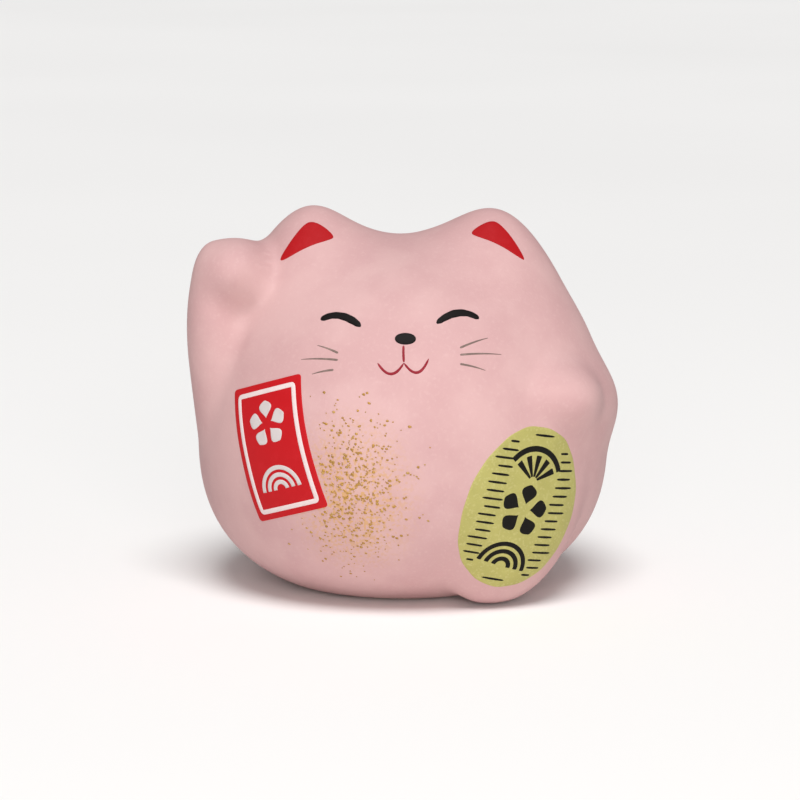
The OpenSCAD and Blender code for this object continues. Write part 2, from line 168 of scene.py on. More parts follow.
def land(start, heading):
    """Where rays that start outside first meet the figure: stride in, then halve the last stride."""
    t = np.zeros(start.shape[:-1])
    outside = np.ones(t.shape, dtype=bool)
    while outside.any() and t.max() < FARTHEST:
        t[outside] += STRIDE
        outside[outside] = above(start[outside] + t[outside, None] * heading[outside]) > 0
    low, high = t - STRIDE, t.copy()
    for _ in range(HALVINGS):
        middle = (low + high) / 2
        out = above(start + middle[..., None] * heading) > 0
        low, high = np.where(out, middle, low), np.where(out, high, middle)
    return start + ((low + high) / 2)[..., None] * heading


def outward(p):
    """Unit arrow off the surface: the slope of the height, by small steps along X, Y and Z."""
    return unit(np.stack([above(p + SLOPE_STEP * e) - above(p - SLOPE_STEP * e) for e in np.eye(3)], -1))


crown_place = land(np.array([[0, 0, 80.0]]), np.array([[0, 0, -1.0]]))[0]
print("height of the crown above the table in mm:", round(float(crown_place[2]), 2))

# %% [markdown]
# ## Colour and material tools
# Colours are written as the hex values a paint chart would give and turned to linear light by one
# function. A second small function adds a shader node with its settings and its links. Real paint
# is never quite even, so a third turns one colour towards another in soft spots of a real size.

# %% Colour and node tools
# the Mix node has a set of sockets for each kind of data: these are the places of its colour ones
MIX_A, MIX_B, MIX_OUT = 6, 7, 2


def linear(hex_colour):
    """Linear red, green, blue and alpha of an sRGB hex colour: c / 12.92, or ((c + 0.055) / 1.055)^2.4."""
    c = np.array([int(hex_colour[i : i + 2], 16) for i in (1, 3, 5)]) / 255
    c = np.where(c <= 0.04045, c / 12.92, ((c + 0.055) / 1.055) ** 2.4)
    return (*c.tolist(), 1.0)


def add(tree, kind, inputs=None, **settings):
    """Adds a node, sets its properties, and fills its inputs with values or links to other sockets."""
    made = tree.nodes.new(kind)
    for key, value in settings.items():
        setattr(made, key, value)
    for key, value in (inputs or {}).items():
        if isinstance(value, bpy.types.NodeSocket):
            tree.links.new(value, made.inputs[key])
        else:
            made.inputs[key].default_value = value
    return made


def new_finish(name, **shader):
    """A material with one Principled shader, whose even values are set on its own sockets."""
    material = bpy.data.materials.new(name)
    material.use_nodes = True
    tree = material.node_tree
    tree.nodes.clear()
    surface = add(tree, "ShaderNodeBsdfPrincipled", shader)
    add(tree, "ShaderNodeOutputMaterial", {"Surface": surface.outputs[0]})
    place = add(tree, "ShaderNodeTexCoord").outputs["Object"]
    return material, tree, surface, place


def per_mm(size_mm):
    """Noise scale whose features are about size_mm across, for a pattern in metres."""
    return 1 / (size_mm * MM)


def spotted(tree, place, ground, tint, size_mm, edges, most=1.0, detail=2, rough=0.5):
    """A ground colour turned towards a tint in soft spots: the share is noise of a real size, eased
    from 0 at the first edge to the most at the second."""
    cloud = add(tree, "ShaderNodeTexNoise",
                {"Vector": place, "Scale": per_mm(size_mm), "Detail": detail, "Roughness": rough})
    share = add(tree, "ShaderNodeMapRange",
                {"Value": cloud.outputs["Fac"], "From Min": edges[0], "From Max": edges[1], "To Max": most},
                interpolation_type="SMOOTHSTEP")
    colours = {"Factor": share.outputs["Result"], MIX_A: ground, MIX_B: tint}
    return add(tree, "ShaderNodeMix", colours, data_type="RGBA").outputs[MIX_OUT]


def dress(tree, surface, colour, height, depth_mm):
    """Gives a shader its colour, and a bump that is height times a real depth."""
    tree.links.new(colour, surface.inputs["Base Color"])
    bump = add(tree, "ShaderNodeBump", {"Height": height, "Strength": 1.0, "Distance": depth_mm * MM})
    tree.links.new(bump.outputs[0], surface.inputs["Normal"])


print("a paint chart's middle grey in linear light:", [round(c, 3) for c in linear("#808080")[:3]])

# %% [markdown]
# ## The pink coat: sprayed matt acrylic over a chalky ground
# The cat is sprayed with flat pink paint over white primer. Flat paint scatters light, so there is
# no sharp reflection, only a broad soft sheen on the forehead and the paw. Spray leaves a fine
# stipple, really a tenth of a millimetre across, which is drawn at a third so that it shows, and
# the hand-finished clay below it undulates over a few millimetres. To the eye it is soft and warm,
# like felt. Gold dust drifts in a cloud on the belly, where the spatter was aimed.

# %% Matt pink spray paint
PINK, PINK_DEEP, PINK_CHALK = "#cba5a4", "#c49c9c", "#d1afae"
GOLD_DUST, DUST_SIZE = "#c99a55", 0.45
MIST_AT, MIST_SIZE = (-6.5, -24.0, 17.0), (11.0, 12.0, 14.0)
STIPPLE_SIZE, SWELL_SIZE, PINK_RELIEF = 0.35, 3.5, 0.018


def gold_dust(tree, place):
    """Share of gold dust: fine noise times a cloud that fades from the middle of an egg to its edge."""
    centred = add(tree, "ShaderNodeMapping", {"Vector": place, "Location": [-c * MM for c in MIST_AT]})
    scaled = add(tree, "ShaderNodeVectorMath",
                 {0: centred.outputs[0], 1: [per_mm(s) for s in MIST_SIZE]}, operation="MULTIPLY")
    reach = add(tree, "ShaderNodeVectorMath", {0: scaled.outputs[0]}, operation="LENGTH")
    cloud = add(tree, "ShaderNodeMapRange",
                {"Value": reach.outputs["Value"], "From Min": 0.15, "To Min": 1.0, "To Max": 0.0},
                interpolation_type="SMOOTHSTEP")
    grains = add(tree, "ShaderNodeTexNoise",
                 {"Vector": place, "Scale": per_mm(DUST_SIZE), "Detail": 1, "Roughness": 0.4})
    dust = add(tree, "ShaderNodeMapRange",
               {"Value": grains.outputs["Fac"], "From Min": 0.5, "From Max": 0.62,
                "To Min": 0.12, "To Max": 0.75}, interpolation_type="SMOOTHSTEP")
    share = add(tree, "ShaderNodeMath", {0: cloud.outputs[0], 1: dust.outputs[0]}, operation="MULTIPLY")
    return share.outputs[0]


def sprayed_pink():
    """Flat pink paint: mottled colour, chalky specks and gold dust, on 3 times a slow swell plus a
    fine stipple."""
    finish, tree, surface, place = new_finish(
        "matt_pink_spray_paint", **{"Roughness": 0.68, "Specular IOR Level": 0.3})
    colour = spotted(tree, place, linear(PINK), linear(PINK_DEEP), 9, (0.35, 0.65), detail=3)
    colour = spotted(tree, place, colour, linear(PINK_CHALK), 0.5, (0.5, 0.8), 0.35, rough=0.6)
    dusted = {"Factor": gold_dust(tree, place), MIX_A: colour, MIX_B: linear(GOLD_DUST)}
    colour = add(tree, "ShaderNodeMix", dusted, data_type="RGBA").outputs[MIX_OUT]
    stipple = add(tree, "ShaderNodeTexNoise",
                  {"Vector": place, "Scale": per_mm(STIPPLE_SIZE), "Detail": 2, "Roughness": 0.55})
    swell = add(tree, "ShaderNodeTexNoise", {"Vector": place, "Scale": per_mm(SWELL_SIZE), "Detail": 2})
    height = add(tree, "ShaderNodeMath", {0: swell.outputs["Fac"], 1: 3.0, 2: stipple.outputs["Fac"]},
                 operation="MULTIPLY_ADD")
    dress(tree, surface, colour, height.outputs[0], PINK_RELIEF)
    return finish


pink_spray = sprayed_pink()
print("made", pink_spray.name, "with", len(pink_spray.node_tree.nodes), "nodes")

# %% [markdown]
# ## The bare casting: low-fired earthenware
# Where the paint stops, at the foot, the fired clay shows: warm buff, quite dry, with grog specks
# of up to half a millimetre and the soft tooth that wiping with a wet sponge leaves. It has no
# shine at all, so the eye reads it as bare and a little rough.

# %% Low-fired earthenware
TOOTH_SIZE, TOOTH_DEPTH = 0.3, 0.05


def fired_clay():
    """Dry buff clay: two buffs in clouds, darker grog specks, and noise for its soft tooth."""
    finish, tree, surface, place = new_finish("low_fired_earthenware", **{"Roughness": 0.85, "IOR": 1.5})
    colour = spotted(tree, place, linear("#e3d0bd"), linear("#d3baa2"), 6, (0.35, 0.7), detail=3)
    colour = spotted(tree, place, colour, linear("#a98667"), 0.5, (0.66, 0.72), 0.7, detail=1, rough=0.3)
    tooth = add(tree, "ShaderNodeTexNoise",
                {"Vector": place, "Scale": per_mm(TOOTH_SIZE), "Detail": 3, "Roughness": 0.6})
    dress(tree, surface, colour, tooth.outputs["Fac"], TOOTH_DEPTH)
    return finish


clay = fired_clay()
print("made", clay.name, "with", len(clay.node_tree.nodes), "nodes")

# %% [markdown]
# ## The grid of the body
# Seen from its heart, the cat has one surface in every direction, so bearing and drop from the
# crown are the two parameters of the whole skin. Only the raised paw hides a little of itself, so
# the heart sways towards a place from which it is seen better. Columns and rows are crowded
# towards that paw, the smallest and roundest form on the figure.

# %% Directions from the heart of the figure
HEART, SWAY = np.array([0.0, 0.0, 31.0]), np.array([-1.0, 8.0, 2.0])
FOOT_R, FOOT_W, RECESS, VENT_R = 12.4, 2.4, 1.0, 3.5
WALL, COAT = 3.0, 0.15
PAW_BEARING, CROWD_ROUND, CROWD_DOWN, BARE_ANGLE = 208, 0.35, 0.3, 1.1
PAW_DROP, RAY_REACH = 60, 45
CROWN_ABOVE, DOWN = (HEART + SWAY + [0, 0, RAY_REACH])[None], np.array([[0, 0, -1.0]])
FOOT_ANGLE = 180 - math.degrees(math.atan(FOOT_R / HEART[2]))
COAT_ANGLE = FOOT_ANGLE - BARE_ANGLE


def bearings(count):
    """Bearing of each column in radians: even steps less a sine that gathers them at the paw."""
    t = 2 * np.pi * np.arange(count) / count
    return t - CROWD_ROUND * np.sin(t - math.radians(PAW_BEARING))


def drops(count, last):
    """Angles down from the crown in radians, gathered at the paw, from one step in to the last."""
    t = np.linspace(0, math.radians(last), count + 1)
    gathered = t - CROWD_DOWN / 2 * np.sin(2 * (t - math.radians(PAW_DROP)))
    gathered -= gathered[0]
    return (gathered * t[-1] / gathered[-1])[1:]


def body_grid(down, across):
    """Points of the figure's skin for drops and bearings in radians, each found along its ray.

    The rays aim at the heart, swayed by (1 + cos drop) / 2, so that they also see under the paw.
    """
    d = np.stack([np.sin(down) * np.cos(across), np.sin(down) * np.sin(across), np.cos(down)], -1)
    start = HEART + SWAY * (1 + np.cos(down))[..., None] / 2
    return land(start + RAY_REACH * d, -d)


THUMBED_AT, THUMBED_REACH = np.array([-19.0, -12.0, 41.0]), 5.5


def thumbed(grid):
    """How much each point lies under the thumb, from 1 at the crease to 0 at its reach: n^2 (3 - 2 n)."""
    near = np.clip(1 - np.linalg.norm(grid - THUMBED_AT, axis=-1) / THUMBED_REACH, 0, 1)[..., None]
    return near * near * (3 - 2 * near)


def smoothed(grid, times):
    """The grid with the crease under the raised paw rubbed smooth: each point there moves towards
    the mean of its four neighbours, the more the closer it is to the middle of the thumb."""
    share = thumbed(grid)[1:-1]
    for _ in range(times):
        mean = (grid[:-2] + grid[2:] + np.roll(grid, 1, 1)[1:-1] + np.roll(grid, -1, 1)[1:-1]) / 4
        grid[1:-1] += share * (mean - grid[1:-1])
    return grid


def level_ring(radius, z, across):
    """A round ring of points at one height: radius times cos and sin of each bearing."""
    return np.stack([radius * np.cos(across), radius * np.sin(across), np.full_like(across, z)], -1)


print(f"the coat ends {COAT_ANGLE:.1f} degrees below the crown's axis, the foot ring at {FOOT_ANGLE:.1f}")

# %% [markdown]
# ## The pink coat as a piece
# The coat is a real skin 0.15 mm thick, a little more in the crease under the raised paw. Its outer
# face is the figure's own surface, and a hair of air is left between its inner face and the clay,
# so that the two never flicker through each other. The spray stops a little above the table in an
# edge that wanders, because the wet foot was wiped clean by hand.

# %% Build the coat
COLUMNS, COAT_ROWS, INNER_ROWS = 336, 216, 60
COAT_RUBS, COAT_SUNK = 16, 0.4


def wiped_edge(across):
    """How far the wiped edge wanders from its mean, in radians: three slow waves round the foot."""
    slow, middling, quick = np.sin(5 * across + 1), np.sin(11 * across), np.sin(23 * across + 2)
    return math.radians(0.25) * (slow + 0.6 * middling + 0.4 * quick)


def build_coat():
    """Outer rows from the crown to the wiped edge, then inner rows back up to the crown."""
    across = bearings(COLUMNS)
    rows = drops(COAT_ROWS, COAT_ANGLE)[:, None] * np.ones(COLUMNS)
    rows += wiped_edge(across) * (rows / rows[-1]) ** 30
    outer = smoothed(body_grid(rows, across[None, :] * np.ones_like(rows)), COAT_RUBS)
    kept = np.linspace(0, COAT_ROWS - 1, INNER_ROWS).astype(int)
    inner = (outer - (COAT + COAT_SUNK * thumbed(outer)) * outward(outer))[kept][::-1]
    crown = land(CROWN_ABOVE, DOWN)[0]
    points = np.concatenate([[crown], outer.reshape(-1, 3), inner.reshape(-1, 3), [crown - [0, 0, COAT]]])
    faces = skin_faces(COAT_ROWS + len(kept), COLUMNS)
    mesh_piece("pink_coat_skin", points, faces, pink_spray, "pink_coat")


build_coat()

# %% [markdown]
# ## The casting as a piece
# Slip is poured into a plaster mould, left to stiffen against it, and the rest is poured out
# through the base. That leaves a wall of even thickness, a foot ring to stand on, and a vent
# that keeps the hollow figure from bursting in the kiln.

# %% Build the casting
CAST_COLUMNS, CAST_ROWS, CAST_RUBS, CAST_SUNK = 252, 140, 25, 2.0
HOLLOW_RINGS = 24


def foot_profile():
    """Radius and height along the underside: foot ring, recess and vent, with rounded edges."""
    soft = 0.35
    quarter = np.radians(np.linspace(0, 90, 6))
    inner = FOOT_R - FOOT_W
    ring_edge = [(inner + soft * (1 - math.sin(a)), soft * (1 - math.cos(a))) for a in quarter]
    recess_edge = [(inner - 2 * soft * (1 - math.cos(a)), RECESS - soft * (1 - math.sin(a))) for a in quarter]
    vent_edge = [(VENT_R + soft * (1 - math.sin(a)), RECESS + soft * (1 - math.cos(a))) for a in quarter]
    return [(FOOT_R + 0.25, 0.03), (FOOT_R, 0)] + ring_edge + recess_edge + vent_edge + [(VENT_R, WALL)]


def hollow_rings(count, across):
    """Rings of the hollow from its floor to its crown: the egg of the body less the wall, where a
    ring at angle a is cos(a)^(2/n) wide and sin(a)^(2/n) up."""
    a = np.radians(np.linspace(-90, 90, count + 2)[1:-1])[:, None]
    power = np.where(a > 0, DOME_ROUND, BOWL_ROUND)
    tall = np.where(a > 0, DOME_H, WAIST_Z) - WALL
    out = np.cos(a) ** (2 / power)
    up = np.sign(a) * np.abs(np.sin(a)) ** (2 / power)
    x = (BELLY_W / 2 - WALL) * out * np.cos(across)
    y = (BELLY_D / 2 - WALL) * out * np.sin(across)
    return np.stack([x, y, (WAIST_Z + tall * up) * np.ones_like(x)], -1)


def build_casting():
    """One closed skin: outside under the coat, foot, recess, vent, and the hollow inside."""
    across = bearings(CAST_COLUMNS)
    down = drops(CAST_ROWS, COAT_ANGLE)[:, None] * np.ones(CAST_COLUMNS)
    outer = smoothed(body_grid(down, across[None, :] * np.ones_like(down)), CAST_RUBS)
    outer = outer - (2 * COAT + CAST_SUNK * thumbed(outer)) * outward(outer)
    bare_drops = np.radians(np.linspace(COAT_ANGLE, FOOT_ANGLE - 0.5, 4)[1:])
    bare_rows = bare_drops[:, None] * np.ones(CAST_COLUMNS)
    bare = body_grid(bare_rows, across[None, :] * np.ones_like(bare_rows))
    under = np.stack([level_ring(r, z, across) for r, z in foot_profile()])
    inside = hollow_rings(HOLLOW_RINGS, across)
    crown = land(CROWN_ABOVE, DOWN)[0] - [0, 0, COAT]
    rings = np.concatenate([outer, bare, under, inside])
    points = np.concatenate([[crown], rings.reshape(-1, 3), [[0, 0, WAIST_Z + DOME_H - WALL]]])
    faces = skin_faces(len(rings), CAST_COLUMNS)
    mesh_piece("slip_cast_shell", points, faces, clay, "ceramic_shell")


build_casting()

# %% [markdown]
# ## Looking at a curved surface
# A painter looks straight at the face, the flank or the coin and draws there as on flat paper. So
# each drawing has its own flat view, and a place in it is carried onto the body along that view.

# %% Views
VIEW_STANDOFF = 12


def view(middle, yaw, pitch):
    """A flat view of the surface: its middle in mm, its right, its up, and its outward direction."""
    m = turn(0, 0, yaw) @ turn(pitch, 0, 0)
    return np.array(middle, float), m[:, 0], m[:, 2], -m[:, 1]


FRONT = view((0, -22, 18.1), 0, 0)
FACE = view((0, -20, 38.1), 0, -35)
LABEL = view((-17.7, -20.9, 22.5), -38, 0)
COIN = view((16.1, -21.6, 14.4), 24, 8)


def touch(seen, ab):
    """Surface points at places ab, in mm right and up in a view."""
    middle, right, up, out = seen
    ab = np.asarray(ab, float)
    start = middle + ab[..., :1] * right + ab[..., 1:] * up + VIEW_STANDOFF * out
    return land(start, np.broadcast_to(-out, start.shape))


for title, seen in (("front", FRONT), ("face", FACE), ("label", LABEL), ("coin", COIN)):
    print("middle of the", title, "view lands at", touch(seen, [[0, 0]])[0].round(2).tolist())

# %% [markdown]
# ## Laying a film
# A stroke of paint is a film: its foot follows the surface, its top stands a tenth of a millimetre
# above it, and its rim is round because wet paint pulls back from its edge. It is built as a
# closed ring of points at each station along the stroke, a little of it sunk in the surface.

# %% Films and strokes
SUNK = 0.05


def film(seen, left, right, columns=9, top=0.09, lift=0.0, edge=3.0, loop=False):
    """Film between two edges: at u across from -1 to 1 it stands top times sqrt(1 - |u|^edge) high."""
    u = np.sin(np.linspace(-np.pi / 2, np.pi / 2, columns))
    share = ((u + 1) / 2)[None, :, None]
    base = touch(seen, left[:, None] * (1 - share) + right[:, None] * share)
    normal = outward(base)
    rise = lift + top * np.sqrt(np.clip(1 - np.abs(u) ** edge, 0, 1))
    rise = np.repeat(rise[None], len(base), 0)
    if not loop:
        rise[[0, -1]] = lift
    over = base + rise[..., None] * normal
    below = base + (lift - SUNK) * normal
    ring = np.concatenate([over, below[:, ::-1]], 1)
    stations, around = ring.shape[:2]
    i = np.arange(stations if loop else stations - 1)[:, None] * around
    j = np.arange(around)[None]
    after, along = (j + 1) % around, (i + around) % (stations * around)
    quads = np.stack([i + j, i + after, along + after, along + j], -1).reshape(-1, 4)
    if not loop:
        k = np.arange(columns - 1)
        first = np.stack([k, around - 1 - k, around - 2 - k, k + 1], -1)
        last = first[:, ::-1] + (stations - 1) * around
        quads = np.concatenate([quads, first, last])
    return ring.reshape(-1, 3), quads


def stroke(seen, path, half, **how):
    """Film along a path with a half width at each station, square to the path."""
    path, half = np.asarray(path, float), np.broadcast_to(half, len(path))[:, None]
    step = np.roll(path, -1, 0) - np.roll(path, 1, 0) if how.get("loop") else np.gradient(path, axis=0)
    ahead = unit(step)
    side = np.stack([-ahead[:, 1], ahead[:, 0]], 1) * half
    return film(seen, path + side, path - side, **how)


def gather(films):
    """Many closed films as one set of points and faces."""
    starts = np.cumsum([0] + [len(points) for points, _ in films[:-1]])
    faces = [faces + start for (_, faces), start in zip(films, starts)]
    return np.concatenate([points for points, _ in films]), np.concatenate(faces)


def film_piece(name, films, finish, node):
    """One piece from one or more films, standing for a node of the model."""
    points, faces = gather(films)
    mesh_piece(name, points, faces.tolist(), finish, node)


def bow(a, b, c, count=40):
    """Curve from a to c pulled towards b: (1 - t)^2 a + 2 t (1 - t) b + t^2 c."""
    t = np.linspace(0, 1, count)[:, None]
    return (1 - t) ** 2 * np.array(a) + 2 * t * (1 - t) * np.array(b) + t**2 * np.array(c)


def brushed(width, count=40, thin=0.6, seed=1.0):
    """Half widths of a brush stroke: thin where it lands and lifts, full between, a little uneven.

    The swell is the sine of half a turn to a low power, and two slow sines make it waver.
    """
    t = np.linspace(0, 1, count)
    swell = np.sin(np.pi * t)
    shape = (thin + (1 - thin) * swell**0.55) * np.clip(swell * 5, 0.08, 1) ** 0.5
    return width * shape * (1 + 0.05 * np.sin(9 * t + seed) + 0.03 * np.sin(31 * t + 2 * seed))


print("half widths along a stroke 1 mm wide:", brushed(0.5, 5).round(2).tolist())

# %% [markdown]
# ## Filling an outline
# An ear or the coin's face is flooded with one load of paint, which levels to a flat top and drops
# at its rim. Rings of the outline shrink to its middle, so that the patch can follow any bulge.

# %% Filled patches
def patch(seen, outline, top=0.09, rings=16, hidden_step=2):
    """Filled film inside a closed outline: at s from the middle to the rim it stands
    top times sqrt(1 - s^40) high. The hidden side has one ring for each hidden_step on top."""
    outline = np.asarray(outline, float)
    centre = outline.mean(0)
    share = np.sin(np.linspace(0, np.pi / 2, rings + 1))[1:]
    base = touch(seen, centre + share[:, None, None] * (outline - centre))
    normal = outward(base)
    over = base + (top * np.sqrt(1 - share**40))[:, None, None] * normal
    skin = np.concatenate([over, (base - SUNK * normal)[::-hidden_step]])
    middle = touch(seen, centre[None])
    off = outward(middle)
    points = np.concatenate([middle + top * off, skin.reshape(-1, 3), middle - SUNK * off])
    return points, [face[::-1] for face in skin_faces(len(skin), len(outline))]


def rounded(corners, times=4):
    """Outline from corners: each side is cut at a quarter and three quarters, again and again."""
    p = np.array(corners, float)
    for _ in range(times):
        after = np.roll(p, -1, 0)
        p = np.stack([0.75 * p + 0.25 * after, 0.25 * p + 0.75 * after], 1).reshape(-1, 2)
    return p


def spin(p, angle):
    """Places turned by an angle in degrees in their view."""
    c, s = math.cos(math.radians(angle)), math.sin(math.radians(angle))
    return np.asarray(p, float) @ np.array([[c, s], [-s, c]])


print("a square's outline after rounding has", len(rounded([(0, 0), (1, 0), (1, 1), (0, 1)])), "points")

# %% [markdown]
# ## Paints and prints
# Brushed enamel is smoother than the sprayed coat and holds the faint ridges of the brush, so it
# shines a little. The label is a water-slide print with a satin clear film. The coin and the
# flecks are bronze powder in lacquer: metal flakes on a dull, grainy ground, and a random few are
# painted pale gold as a painted glint. The flakes of real powder are far too fine to see, so they
# are drawn a quarter of a millimetre wide.

# %% Brushed paint, print and bronze lacquer
# the third value is a pale gold painted on the highest flake cells as a painted glint
FLAKE, FLAKE_RELIEF, FLAKE_PAINTED_GLINT = 0.25, 0.01, "#e6dfa6"
BRUSH_RIDGE, PRINT_GRAIN = (0.25, 0.012), (0.5, 0.006)


def paint(name, base, worn, roughness, wear, grain=BRUSH_RIDGE):
    """An opaque layer: its colour turned towards a worn one in spots, over noise of a grain's size
    times the grain's height."""
    finish, tree, surface, place = new_finish(name, **{"Roughness": roughness, "Specular IOR Level": 0.15})
    colour = spotted(tree, place, linear(base), linear(worn), 1.6, (0.45, 0.75), wear, detail=3, rough=0.6)
    size_mm, height_mm = grain
    ridges = add(tree, "ShaderNodeTexNoise", {"Vector": place, "Scale": per_mm(size_mm), "Detail": 2})
    dress(tree, surface, colour, ridges.outputs["Fac"], height_mm)
    return finish


def bronze(name, base, dark, metal, roughness):
    """Bronze powder in lacquer: each flake is a cell with a level of its own; the highest get a painted
    glint.
    """
    finish, tree, surface, place = new_finish(name, **{"Metallic": metal, "Roughness": roughness})
    colour = spotted(tree, place, linear(base), linear(dark), 3, (0.35, 0.7), 0.4, detail=3)
    flakes = add(tree, "ShaderNodeTexVoronoi", {"Vector": place, "Scale": per_mm(FLAKE)})
    level = add(tree, "ShaderNodeSeparateColor", {0: flakes.outputs["Color"]}).outputs[0]
    # the highest flake cells turn towards a pale gold: a painted glint, not lit by any lamp
    painted_glint = add(tree, "ShaderNodeMapRange", {"Value": level, "From Min": 0.7, "To Max": 0.16},
                interpolation_type="SMOOTHSTEP")
    painted_glinting = {"Factor": painted_glint.outputs["Result"], MIX_A: colour, MIX_B: linear(FLAKE_PAINTED_GLINT)}
    colour = add(tree, "ShaderNodeMix", painted_glinting, data_type="RGBA").outputs[MIX_OUT]
    dress(tree, surface, colour, level, FLAKE_RELIEF)
    return finish


# one loaded brush of enamel: deep, even colour with a faint shine along the ridges
red_enamel = paint("brushed_red_enamel", "#a50e15", "#b0242b", 0.6, 0.3)
black_enamel = paint("brushed_black_enamel", "#0d0909", "#1c1414", 0.6, 0.25)
# enamel thinned for fine lines: the pink comes through, so the lines look soft and dry
mouth_enamel = paint("fine_brushed_madder", "#861a28", "#b04a55", 0.45, 0.4)
whisker_wash = paint("thin_brushed_umber", "#76665f", "#a58d86", 0.55, 0.6)
# ink under a clear film: flat, crisp colour with almost no relief
red_print = paint("printed_red_label_ink", "#b6141b", "#bf2028", 0.55, 0.3, PRINT_GRAIN)
white_print = paint("printed_white_label_ink", "#dccccb", "#cdb9b8", 0.5, 0.3, PRINT_GRAIN)
grey_print = paint("printed_silver_grey_ink", "#c9c1c0", "#b8aaaa", 0.5, 0.4, PRINT_GRAIN)
# powder that settled in a level coat: a dull greenish gold, with a painted glint of pale gold on single
# flakes
coin_lacquer = bronze("bronze_powder_lacquer_coin", "#b1ab62", "#a09a54", 0.2, 0.55)
# drops with more metal and less lacquer: darker and browner, with the same painted glint on single flakes
fleck_lacquer = bronze("bronze_spatter_flecks", "#b5893f", "#7d5a2a", 0.4, 0.45)
# matt ink on the gilt, black with a little of the gold coming through
coin_ink = paint("printed_black_ink", "#100e0b", "#28230f", 0.6, 0.2)
print("finishes so far, with those of the frame:", len(bpy.data.materials))

# %% [markdown]
# ## Ears
# The inside of each ear is filled with red by a brush loaded once: it bellies out along the outer
# edge and comes to a soft point just under the tip.

# %% Paint the ears
RIGHT_EAR = [(-17.1, 14.2), (-16.4, 13.9), (-13.1, 15.6), (-10.0, 16.8), (-9.4, 17.4),
             (-10.6, 18.9), (-12.2, 20.0), (-13.4, 19.9), (-15.2, 17.4)]
LEFT_EAR = [(16.9, 14.3), (16.2, 14.3), (12.9, 16.2), (9.8, 17.5), (9.3, 18.2),
            (10.5, 19.4), (12.0, 20.3), (13.1, 20.2), (15.1, 17.6)]


def ear_red(name, corners, node):
    """A rounded patch. Its outline runs against the clock as seen from the front, which is so when
    the sum of x * next y - y * next x is above 0, and that makes the skin face outward."""
    outline = rounded(corners)
    x, y = outline.T
    turning = np.sum(x * np.roll(y, -1) - y * np.roll(x, -1))
    points, faces = patch(FACE, outline if turning > 0 else outline[::-1], top=0.1)
    mesh_piece(name, points, faces, red_enamel, node)


ear_red("right_ear_red", RIGHT_EAR, "right_ear_paint")
ear_red("left_ear_red", LEFT_EAR, "left_ear_paint")

# %% [markdown]
# ## Eyes and nose
# The closed, smiling eyes are single strokes of a round brush, so they start thin, swell and end
# thin. The nose is one dab, which dries with a domed top.

# %% Paint the eyes and the nose
EYE_HALF = 0.58
right_lid = stroke(FACE, bow([-11.1, 2.9], [-8.6, 4.3], [-5.7, 1]), brushed(EYE_HALF), top=0.1)
left_lid = stroke(FACE, bow([4.5, 1.4], [7.6, 4.7], [10.2, 2.9]), brushed(EYE_HALF, seed=4), top=0.1)
film_piece("right_eye_stroke", [right_lid], black_enamel, "right_eye_paint")
film_piece("left_eye_stroke", [left_lid], black_enamel, "left_eye_paint")


def dab(seen, at, wide, tall, top, count=40):
    """An oval dab of paint with a domed top: its half width is the sine of half a turn along it."""
    t = np.linspace(0, np.pi, count)
    path = np.array(at) + np.stack([-wide * np.cos(t), np.zeros(count)], 1)
    half = tall * np.maximum(np.sin(t), 0.03) ** 0.9
    return stroke(seen, path, half, columns=13, top=top)


film_piece("nose_dab", [dab(FACE, [0.3, -1.1], 1.4, 0.88, 0.12)], black_enamel, "nose_paint")

# %% [markdown]
# ## Mouth and whiskers
# A finer brush draws the mouth as a short line with a hook to each side. Each whisker is a single
# flick, root first, that thins out as the brush runs dry.

# %% Draw the fine lines
mouth_lines = [
    stroke(FACE, bow([0.05, -2.1], [0, -3.4], [0.1, -4.5]), brushed(0.17), columns=7, top=0.05),
    stroke(FACE, bow([-3.4, -4.5], [-1.6, -7.6], [0.08, -4.6]), brushed(0.19, seed=2), columns=7, top=0.05),
    stroke(FACE, bow([0.12, -4.6], [2, -7.5], [3.4, -3.9]), brushed(0.19, seed=3), columns=7, top=0.05),
]
film_piece("mouth_lines", mouth_lines, mouth_enamel, "mouth_paint")

RIGHT_HAIRS = [([-8.7, -2.6], [-11.5, -1.0]), ([-8.7, -3.6], [-13.7, -2.6]), ([-9.3, -4.9], [-12.2, -5.0])]
LEFT_HAIRS = [([7.6, -2.0], [11.4, 0.1]), ([7.6, -3.0], [13.2, -2.0]), ([7.6, -4.3], [11.0, -4.7])]


def whiskers(hairs):
    """Fine strokes from root to tip: the half width is 0.15 mm times 1 less 0.75 t squared."""
    thinning = 0.15 * (1 - 0.75 * np.linspace(0, 1, 30) ** 2)
    thinning[0] *= 0.4
    paths = [bow(root, (np.array(root) + tip) / 2 + [0, 0.15], tip, 30) for root, tip in hairs]
    return [stroke(FACE, path, thinning, columns=5, top=0.04) for path in paths]


film_piece("right_whisker_lines", whiskers(RIGHT_HAIRS), whisker_wash, "right_whiskers")
film_piece("left_whisker_lines", whiskers(LEFT_HAIRS), whisker_wash, "left_whiskers")

# %% [markdown]
# ## Motifs
# The prints carry three small signs of good luck, a blossom, a fan and rolling waves. Each is a
# list of strokes about the origin with an outer radius of 1, so that one drawing serves the label
# and the coin.

# %% Blossom, fan and waves
def ray(angle):
    """Unit arrow at an angle in degrees."""
    return np.array([math.cos(math.radians(angle)), math.sin(math.radians(angle))])


def arc(centre, radius, start, end, count=30):
    """Path round part of a circle: radius times cos and sin of each angle."""
    a = np.radians(np.linspace(start, end, count))
    return np.array(centre) + radius * np.stack([np.cos(a), np.sin(a)], 1)


def blossom(petals=5):
    """Petals along rays from the middle: the sine of pi t^1.5 swells them late, near the tip."""
    t = np.linspace(0, 1, 26)
    half = 0.34 * np.maximum(np.sin(np.pi * np.clip(t, 0.01, 0.985) ** 1.5), 0.02) ** 0.8
    return [((0.26 + 0.74 * t)[:, None] * ray(90 + 360 * k / petals), half) for k in range(petals)]


